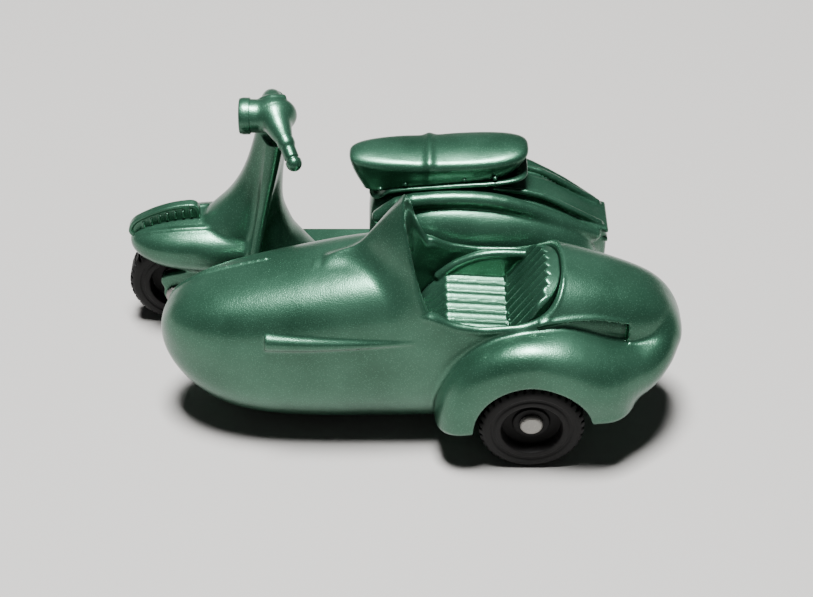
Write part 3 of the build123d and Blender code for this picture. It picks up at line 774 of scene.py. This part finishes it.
@dataclass
class RearBody:
    """Scooter's rear casting: spine, bulged side covers, upper rails and tail block."""

    step: float = 0.17
    wheel_z: float = 4.7
    top: Curve = field(default_factory=lambda: Curve(
        ((-15, 15.0), (-12, 16.5), (-4, 16.9), (1.3, 15.9), (4.1, 14.3), (7.6, 12.1), (9, 11.3)), 0.9))
    bottom: Curve = field(default_factory=lambda: Curve(
        ((-15, 6.0), (0, 6.1), (4.5, 6.9), (7.6, 8.4), (9, 9)), 0.9))
    width: Curve = field(default_factory=lambda: Curve(
        ((-15, 2.5), (-12, 3.2), (-6, 3.6), (0, 3.6), (4, 3.2), (7.6, 2.4), (9, 2.1)), 0.9))

    def spine(self, x: Array, y: Array, z: Array) -> Array:
        """Central body: squarish superellipse sections between two soft ends."""
        top, bottom, width = self.top(x), self.bottom(x), self.width(x)
        middle, half = (top + bottom) / 2, (top - bottom) / 2
        section = (power_norm(y / width, (z - middle) / half, 2.5) - 1) * width
        return both(section, slab(x, -14.6, 7.5), 1.2)

    def covers(self, x: Array, y: Array, z: Array) -> Array:
        """Side covers: a superellipsoid on each side whose middle line slopes down to the rear."""
        middle = 11.0 - 0.13 * (x + 3.6) - 0.006 * (x + 3.6) ** 2
        flat = power_norm((x + 3.4) / 10.2, (z - middle) / 4.9, 2.5)
        return (power_norm(flat, (np.abs(y) - 3.1) / 3.0, 2.3) - 1) * 3.0

    def field(self, x: Array, y: Array, z: Array) -> Array:
        """The whole casting."""
        made = join(self.spine(x, y, z), self.covers(x, y, z), 0.4)
        rail = rope(((-13.6, 3.35, 14.6, 0.7), (-11.5, 3.5, 16.2, 0.75), (-7.4, 3.55, 16.75, 0.75),
                     (-3.4, 3.55, 16.55, 0.75), (-0.4, 3.5, 15.65, 0.72), (3.1, 3.2, 13.9, 0.65),
                     (6.6, 2.6, 11.9, 0.5)), 14, mirror=True)
        made = join(made, rail(x, y, z), 0.4)
        crease = rope(((-3.0, 2.0, 16.75, 0.25), (1.0, 1.95, 16.1, 0.28), (4.6, 1.8, 14.05, 0.28),
                       (7.0, 1.6, 12.55, 0.25)), 8, mirror=True)
        made = join(made, crease(x, y, z), 0.25)
        tilted = z + 0.35 * (x - 6.5)
        block = box_field(x, y, tilted, (6.4, 0, 10.7), (1.3, 2.0, 1.9), 0.4)
        made = join(made, block, 0.5)
        for height in (11.3, 12.35):
            bar = box_field(x, y, tilted, (6.55, 0, height), (1.3, 2.2, 0.24), 0.2)
            made = join(made, bar, 0.15)
        cheek = slab(np.abs(y), 1.85, 2.8)
        lug = np.maximum(np.hypot(x, z - self.wheel_z) - 1.7, cheek)
        arm = np.maximum(slab(x, -1.5, 1.5), np.maximum(slab(z, self.wheel_z, 8.0), cheek))
        made = join(made, np.minimum(lug, arm), 0.3)
        made = cut(made, wheel_room(x, y, z, (0, 0, self.wheel_z), 5.25, 1.82), 0.15)
        return cut(made, np.hypot(x, z - self.wheel_z) - 0.66, 0.05)

    def build(self, shop: Workshop) -> None:
        """Meshes and mounts the casting."""
        mesher = CastingMesher((-15.6, -6.7, 2.5), (8.8, 6.7, 18.2), self.step)
        shop.finish("rear_body", mesher.build(self.field), shop.scooter_y, Look.ENAMEL, "toy",
                    ("scooter_frame", "side_panel_left", "side_panel_right", "tail_lamp_block"))


@dataclass
class Saddle:
    """Dual saddle, wider above than below and wider behind than in front, with a pleat and a beaded pan."""

    centre: float = -8.1
    half_length: float = 8.15
    pleat_x: float = -9.0
    pleat_height: float = 0.24
    stud_x: tuple[float, ...] = (-13.5, -11.2, -5.8, -3.0)
    foot: Curve = field(default_factory=lambda: Curve(
        ((-17, 16.1), (-14.1, 16.35), (-11.4, 17.1), (-6, 17.75), (-1.4, 18.1), (1, 18.2)), 0.7))
    crest: Curve = field(default_factory=lambda: Curve(
        ((-17, 19.95), (-13, 20.15), (-8, 20.35), (-3, 20.6), (1, 20.7)), 1.5))
    half_width: Curve = field(default_factory=lambda: Curve(
        ((-17, 2.3), (-13, 2.6), (-8, 2.8), (-4, 2.98), (1, 2.95)), 1.5))

    def field(self, x: Array, y: Array, z: Array) -> Array:
        """Cushion: a superellipse plan that narrows to the foot, under a crowned top with a pleat."""
        foot, crest, width = self.foot(x), self.crest(x), self.half_width(x)
        share = np.clip((z - foot) / (crest - foot), 0, 1)
        size = 0.85 + 0.15 * np.sin(share * np.pi / 2)
        norm = power_norm((x - self.centre) / (self.half_length * (size + 0.02)), y / (width * size), 3.3)
        side = (norm - 1) * width
        lift = self.pleat_height * np.exp(-(((x - self.pleat_x) / 0.5) ** 2))
        dip = 0.1 * np.exp(-(((x - self.pleat_x) / 1.6) ** 2))
        top = (z - crest - lift + dip + 0.075 * y**2) * 0.95
        made = both(side - 0.45 * lift, top, 0.7)
        return np.maximum(made, foot - 0.1 - z)

    def trim(self, x: Array, y: Array, z: Array) -> Array:
        """Thin pan below the cushion, its rolled edge turned down in front, with small studs above."""
        width = self.half_width(x) * 0.94
        norm = power_norm((x + 7.2) / 6.8, y / width, 4.5)
        side = (norm - 1) * width
        level = self.foot(x) - 0.12 - 0.6 * ramp(x, -12.6, -13.9)
        sheet = np.maximum(side, np.abs(z - level) - 0.13)
        edge = np.hypot(side, z - level) - 0.2
        made = join(sheet, edge, 0.1)
        for at in self.stud_x:
            spot = (at, float(self.half_width(np.array(at))) * 0.9, float(self.foot(np.array(at))) + 0.45)
            reach = np.sqrt((x - spot[0]) ** 2 + (np.abs(y) - spot[1]) ** 2 + (z - spot[2]) ** 2)
            made = np.minimum(made, reach - 0.2)
        return made

    def build(self, shop: Workshop) -> None:
        """Meshes and mounts the cushion and its pan."""
        mesher = CastingMesher((-17.2, -3.7, 16.0), (1.2, 3.7, 21.6), 0.11)
        shop.finish("saddle_cushion", mesher.build(self.field), shop.scooter_y, Look.ENAMEL, "toy",
                    ("saddle",))
        fine = CastingMesher((-16.2, -3.7, 15.2), (0.6, 3.7, 19.2), 0.09)
        shop.finish("saddle_edge", fine.build(self.trim), shop.scooter_y, Look.ENAMEL, "toy",
                    ("saddle_pan",))


@dataclass
class FrontBody:
    """Scooter's front casting: mudguard, column cover, leg shield, footboard and fork."""

    axle_x: float = -33.1
    axle_z: float = 4.7
    step: float = 0.14
    shield_x: Curve = field(default_factory=lambda: Curve(
        ((4, -27.7), (6, -27.4), (10, -26.6), (13, -25.6), (15, -25.0), (19, -24.0), (22, -23.4)), 0.9))
    shield_width: Curve = field(default_factory=lambda: Curve(
        ((4, 5.8), (6, 5.7), (8, 5.2), (10, 4.5), (13, 3.4), (16.5, 2.35), (19, 1.75), (22, 1.3)), 0.9))
    column_x: Curve = field(default_factory=lambda: Curve(
        ((9, -26.7), (11.5, -26.6), (13, -26.2), (15, -25.5), (17, -24.9), (19, -24.4), (22, -23.7)), 0.7))
    column_reach: Curve = field(default_factory=lambda: Curve(
        ((9, 4.4), (11.5, 4.25), (12.7, 3.7), (13.6, 2.95), (15, 2.2), (17, 1.6), (19, 1.3),
         (22, 1.15)), 0.7))
    column_width: Curve = field(default_factory=lambda: Curve(
        ((9, 3.2), (11.5, 3.1), (13, 2.65), (15, 1.95), (17, 1.5), (19, 1.3), (22, 1.15)), 0.7))

    def mudguard(self, x: Array, y: Array, z: Array) -> Array:
        """Long dome over the wheel: superellipse sections under a half circle along x."""
        along = (x + 29.5) / 7.9
        fall = np.sqrt(np.clip(1 - along**2, 1e-4, 1))
        width = fall * (3.95 + 0.03 * np.abs(x + 31.5))
        height = fall * 2.55
        middle = 9.6 + 0.02 * (x + 30)
        section = (power_norm(y / width, (z - middle) / height, 2.4) - 1) * np.minimum(width, height)
        return np.maximum(np.maximum(section, (np.abs(along) - 1) * 7.9), x + 25.4)

    def shield(self, x: Array, y: Array, z: Array) -> Array:
        """Curved plate from deck to neck, swept back towards its edges, which are beaded."""
        back = self.shield_x(z) + 0.045 * y**2
        width = self.shield_width(z)
        plate = np.maximum(np.abs(x - back - 0.3) - 0.38, np.abs(y) - width)
        bead = np.hypot(x - back - 0.3, np.abs(y) - width) - 0.34 - 0.12 * ramp(z, 14.0, 18.0)
        return np.maximum(join(plate, bead, 0.3), slab(z, 5.2, 21.4))

    def column(self, x: Array, y: Array, z: Array) -> Array:
        """Column cover: level superellipse slices that lean back and swell over the mudguard."""
        across = power_norm((x - self.column_x(z)) / self.column_reach(z), y / self.column_width(z), 2.2)
        return np.maximum((across - 1) * self.column_width(z) * 0.8, slab(z, 9.5, 22.6))

    def deck(self, x: Array, y: Array, z: Array) -> Array:
        """Footboard: a flat plate with rounded front corners."""
        plan = box_field(x, y, 0 * z, (-18.3, 0, 0), (8.3, 5.9, 5.0), 1.6)
        return both(plan, slab(z, 5.0, 6.0), 0.2)

    def fork(self, x: Array, y: Array, z: Array) -> Array:
        """Fork legs: a rounded arm down from the mudguard on each side, with a boss round the axle."""
        boss = np.hypot(x - self.axle_x, z - self.axle_z) - 1.25
        strut = rope(((self.axle_x - 0.55, 0, 6.2, 0.88), (-31.0, 0, 6.9, 0.95),
                      (-27.6, 0, 9.0, 1.3)), 8)(x, 0 * y, z)
        return both(join(boss, strut, 0.6), slab(np.abs(y), 1.85, 2.75), 0.25)

    def field(self, x: Array, y: Array, z: Array) -> Array:
        """The whole casting."""
        guard = self.mudguard(x, y, z)
        line = rope(((-36.6, 0.7, 10.35, 0.16), (-35.2, 1.25, 11.0, 0.2), (-33.0, 1.6, 11.6, 0.2),
                     (-30.5, 1.75, 11.9, 0.2), (-28.5, 1.8, 12.0, 0.18)), 8, mirror=True)
        guard = join(guard, line(x, y, z), 0.25)
        made = join(guard, self.column(x, y, z), 0.25)
        spine = rope(((-23.2, 0, 21.2, 1.05), (-23.7, 0, 17.0, 1.1), (-24.0, 0, 13.5, 1.35),
                      (-23.7, 0, 10.6, 1.9), (-22.6, 0, 8.3, 2.2), (-20.6, 0, 6.4, 1.9),
                      (-18.0, 0, 5.2, 1.2)), 56)(x, y * 0.8, z)
        upright = join(join(self.shield(x, y, z), self.deck(x, y, z), 2.2), spine, 1.6)
        upright = np.maximum(upright, 4.9 - z)
        made = join(made, upright, 0.6)
        made = join(made, self.fork(x, y, z), 0.3)
        hollow = np.maximum(self.mudguard(x, y, z) + 0.8, z - 9.4)
        made = cut(made, np.maximum(hollow, x + 27.5), 0.2)
        made = cut(made, wheel_room(x, y, z, (self.axle_x, 0, self.axle_z), 5.25, 1.82), 0.15)
        return cut(made, np.hypot(x - self.axle_x, z - self.axle_z) - 0.66, 0.05)

    def build(self, shop: Workshop) -> None:
        """Meshes and mounts the casting."""
        mesher = CastingMesher((-38.0, -6.9, 2.5), (-9.0, 6.9, 23.4), self.step)
        shop.finish("front_body", mesher.build(self.field), shop.scooter_y, Look.ENAMEL, "toy",
                    ("front_mudguard", "column_cover", "leg_shield", "footboard", "fork_leg_left",
                     "fork_leg_right"))


@dataclass
class NumberPlate:
    """Plate standing along the front mudguard's crown, with plain raised bars on both faces."""

    thickness: float = 0.85
    bars: int = 7

    def field(self, x: Array, y: Array, z: Array) -> Array:
        """A curved strip: between a crown arc and a foot arc, with a rim round it and bars inside the rim."""
        ahead = np.maximum(-30.9 - x, 0)
        crown = 13.7 - 0.055 * ahead**2
        foot = 11.0 - 0.02 * ahead**2
        outline = both(np.maximum(z - crown, foot - 0.4 - z) * 0.9, slab(x, -37.5, -30.6), 0.9)
        plate = both(outline, np.abs(y) - self.thickness / 2 + 0.1, 0.12)
        rim = both(np.maximum(outline, -outline - 0.28), np.abs(y) - self.thickness / 2 - 0.03, 0.1)
        made = join(plate, rim, 0.08)
        middle = crown - 1.02
        for index in range(self.bars):
            at = -36.0 + 4.6 * index / (self.bars - 1)
            bar = box_field(x, y, z - middle, (at, 0, 0.0), (0.13, self.thickness / 2 + 0.06, 0.42), 0.09)
            made = join(made, bar, 0.06)
        return made

    def build(self, shop: Workshop) -> None:
        """Meshes and mounts the plate."""
        mesher = CastingMesher((-38.1, -0.9, 9.0), (-30.1, 0.9, 14.4), 0.085)
        shop.finish("number_plate_blank", mesher.build(self.field), shop.scooter_y, Look.ENAMEL, "toy",
                    ("number_plate",))


@dataclass
class Handlebar:
    """Handlebar casting, turned a little: lamp barrel, rounded body, two swept arms and ribbed grips."""

    lamp_z: float = 23.5
    near: Rows = ((-23.1, -0.2, 23.7, 1.6), (-22.6, -1.8, 23.45, 1.15), (-22.05, -3.1, 23.0, 0.74))
    near_grip: Rows = ((-22.0, -3.15, 22.95, 0.68), (-21.15, -5.0, 21.75, 0.66))
    far: Rows = ((-23.3, 0.3, 23.9, 1.35), (-23.4, 2.0, 23.9, 1.0), (-23.6, 3.1, 23.4, 0.74))
    far_grip: Rows = ((-23.6, 3.15, 23.35, 0.68), (-23.2, 4.75, 22.2, 0.66))

    def grip(self, ends: Sequence[Sequence[float]], x: Array, y: Array, z: Array) -> Array:
        """Field of one grip: a bar with a collar, a groove behind it and a knob at its end."""
        start, end = np.array(ends[0]), np.array(ends[1])
        made = rope((start, end), 1)(x, y, z)
        for share, swell in ((0.08, 0.13), (0.93, 0.06)):
            spot = start + (end - start) * share
            reach = (end - start) * np.array([0.035, 0.035, 0.035, 0])
            ring = rope((spot - reach + [0, 0, 0, swell], spot + reach + [0, 0, 0, swell]), 1)(x, y, z)
            made = join(made, ring, 0.08)
        spot = start + (end - start) * 0.8
        middle = np.sqrt((x - spot[0]) ** 2 + (y - spot[1]) ** 2 + (z - spot[2]) ** 2)
        run = (end - start)[:3] / np.linalg.norm((end - start)[:3])
        along = (x - spot[0]) * run[0] + (y - spot[1]) * run[1] + (z - spot[2]) * run[2]
        radial = np.sqrt(np.maximum(middle**2 - along**2, 0))
        return cut(made, np.hypot(along, radial - 0.72) - 0.14, 0.06)

    def field(self, x: Array, y: Array, z: Array) -> Array:
        """The casting without its lamp rim."""
        barrel = rope(((-25.4, 0, self.lamp_z, 1.55), (-23.4, 0, self.lamp_z, 1.5)), 1)(x, y, z)
        barrel = np.maximum(barrel, -25.7 - x)
        body = (np.sqrt(((x + 22.9) / 1.85) ** 2 + (y / 1.6) ** 2 + ((z - 23.6) / 1.6) ** 2) - 1) * 1.6
        made = join(barrel, body, 0.6)
        made = join(made, rope(self.near, 24)(x, y, z), 0.4)
        made = join(made, rope(self.far, 24)(x, y, z), 0.25)
        made = join(made, self.grip(self.near_grip, x, y, z), 0.05)
        made = join(made, self.grip(self.far_grip, x, y, z), 0.05)
        fold = rope(((-24.2, 0.9, 24.6, 0.3), (-23.3, 0.6, 25.1, 0.32), (-22.3, 0.9, 24.9, 0.3)), 6)(x, y, z)
        return join(made, fold, 0.25)

    def build(self, shop: Workshop) -> None:
        """Meshes and mounts the handlebar and the lamp's rim."""
        mesher = CastingMesher((-26.8, -6.6, 20.2), (-19.6, 6.6, 26.4), 0.1)
        shop.finish("handlebar", mesher.build(self.field), shop.scooter_y, Look.ENAMEL, "toy",
                    ("handlebar_headset", "handgrip_left", "handgrip_right"))
        loop = rounded_loop(((0.02, -0.35, 0.0), (1.0, -0.28, 0.3), (1.3, -0.1, 0.1), (1.36, -0.3, 0.1),
                             (1.62, -0.28, 0.12), (1.7, 0.1, 0.12), (1.68, 0.72, 0.08), (0.02, 0.75, 0.0)), 5)
        points, quads = lathe(loop, 72)
        points = np.stack([points[:, 1] - 26.0, points[:, 0], points[:, 2] + self.lamp_z], -1)
        shop.finish("lamp_rim", (points, quads), shop.scooter_y, Look.ENAMEL, "toy", ("headlamp_rim",))


# ---- wheels --------------------------------------------------------------------------------------


@dataclass
class Wheel:
    """One-piece wheel and tyre: sunk hub, ring groove, rounded shoulders and a cross-cut tread."""

    radius: float = 4.7
    half: float = 1.4
    bore: float = 0.66
    hub: float = 1.65
    groove: float = 1.1
    outer_depths: tuple[float, float] = (0.95, 1.2)
    inner_depths: tuple[float, float] = (0.3, 0.8)
    notches: int = 36
    notch_depth: float = 0.2

    def mesh(self) -> tuple[Array, Array]:
        """Profile turned about y; the tread's rows are lowered by a pulse that repeats round the wheel."""
        def side(depths: tuple[float, float]) -> list[tuple[float, float, float]]:
            """One side's (radius, y, rounding) rows from bore to shoulder, for its hub and groove depths."""
            sunk, deep = (self.half - depth for depth in depths)
            wall = self.hub + self.groove
            return [(self.bore, sunk, 0.05), (1.2, sunk, 0.08), (self.hub, sunk + 0.02, 0.12),
                    (self.hub, deep, 0.1),
                    (wall - 0.08, deep, 0.12), (wall, self.half, 0.16), (3.25, self.half, 0.08),
                    (3.35, self.half - 0.09, 0.06), (3.6, self.half - 0.09, 0.06), (3.7, self.half, 0.08),
                    (4.25, self.half - 0.03, 0.2)]

        tread = [(self.radius, self.half - 0.42, 0.16), (self.radius, -self.half + 0.42, 0.16)]
        outward = [(r, -y, e) for r, y, e in reversed(side(self.outer_depths))]
        loop = rounded_loop(side(self.inner_depths) + tread + outward, 4)

        def ripple(angle: Array, row: Array) -> Array:
            """How far the tread is lowered: a flat-bottomed pulse of the turn angle, at the rim alone."""
            wave = np.cos(angle * self.notches)
            notch = np.clip((wave - 0.45) / 0.3, 0, 1)
            outer = ramp(loop[:, 0], self.radius - 0.35, self.radius - 0.05)[None, :]
            return -self.notch_depth * notch * outer

        points, quads = lathe(loop, self.notches * 10, ripple)
        return points, quads

    def build(self, shop: Workshop) -> None:
        """Makes the three wheels, each on its own body."""
        points, quads = self.mesh()
        for node in ("front_wheel", "rear_wheel", "sidecar_wheel"):
            low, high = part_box(node)
            centre = np.array([(low[i] + high[i]) / 2 / MM for i in range(3)])
            place = points + centre - np.array([shop.rear_x, 0, 0])
            shop.finish(node + "_tyre", (place, quads), 0.0, Look.PLASTIC, node, (node,), 50.0)


# ---- stage ---------------------------------------------------------------------------------------


@dataclass
class Stage:
    """Pale floor, soft lights and the camera, in metres."""

    camera: tuple[float, float, float] = (0.8, -138.35, 124.7)
    tilt: float = 50.0
    lens: float = 86.35
    floor_grey: float = 0.25
    floor_half: float = 3.0
    key_place: tuple[float, float, float] = (-0.02, -0.01, 0.5)
    fill_place: tuple[float, float, float] = (0.1, -0.5, 0.35)
    world_strength: float = 0.055

    def floor(self) -> None:
        """Large flat floor, evenly pale."""
        mesh = bpy.data.meshes.new("floor")
        half = self.floor_half
        corners = [(-half, -half, 0), (half, -half, 0), (half, half, 0), (-half, half, 0)]
        mesh.from_pydata(corners, [], [(0, 1, 2, 3)])
        made = bpy.data.objects.new("floor", mesh)
        bpy.context.scene.collection.objects.link(made)
        paint = bpy.data.materials.new("pale_floor")
        paint.use_nodes = True
        shader = paint.node_tree.nodes["Principled BSDF"]
        grey = self.floor_grey
        shader.inputs["Base Color"].default_value = (grey, grey * 0.975, grey * 0.94, 1)
        shader.inputs["Roughness"].default_value = 0.6
        mesh.materials.append(paint)

    def light(self, name: str, place: tuple[float, float, float], size: float, power: float,
              target: tuple[float, float, float] = (0, 0, 0.008)) -> None:
        """One square area light that faces the target."""
        data = bpy.data.lights.new(name, "AREA")
        data.size = size
        data.energy = power
        made = bpy.data.objects.new(name, data)
        made.location = place
        way = np.array(target) - np.array(place)
        made.rotation_euler = Vector(way).to_track_quat("-Z", "Y").to_euler()
        bpy.context.scene.collection.objects.link(made)

    def build(self, shop: Workshop) -> None:
        """Puts up the floor, the lights, the world and the camera."""
        self.floor()
        self.light("key", self.key_place, 0.13, 14.0)
        self.light("fill", self.fill_place, 0.5, 0.12)
        world = bpy.data.worlds.new("studio")
        world.use_nodes = True
        sky = world.node_tree.nodes["Background"]
        sky.inputs["Color"].default_value = (0.75, 0.77, 0.8, 1)
        sky.inputs["Strength"].default_value = self.world_strength
        bpy.context.scene.world = world
        data = bpy.data.cameras.new("camera")
        data.lens = self.lens
        data.sensor_width = 36.0
        data.clip_start = 0.005
        camera = bpy.data.objects.new("camera", data)
        camera.location = [value * MM for value in self.camera]
        camera.rotation_euler = (math.radians(self.tilt), 0, 0)
        bpy.context.scene.collection.objects.link(camera)
        bpy.context.scene.camera = camera


def main() -> None:
    """Builds every piece round the CAD frame and writes how large the result is."""
    logging.basicConfig(level=logging.INFO, format="%(relativeCreated)d %(message)s")
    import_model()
    shop = Workshop.from_frame()
    shell = SidecarBody()
    for part in (shell, SidecarSeat(shell), RearBody(), Saddle(), FrontBody(), NumberPlate(), Handlebar(),
                 Wheel(), Stage()):
        part.build(shop)
    shop.dress("sidecar_chassis", Look.ENAMEL)
    shop.dress("front_axle", Look.ZINC)
    shop.dress("rear_axle", Look.ZINC)


if __name__ == "__main__":
    main()
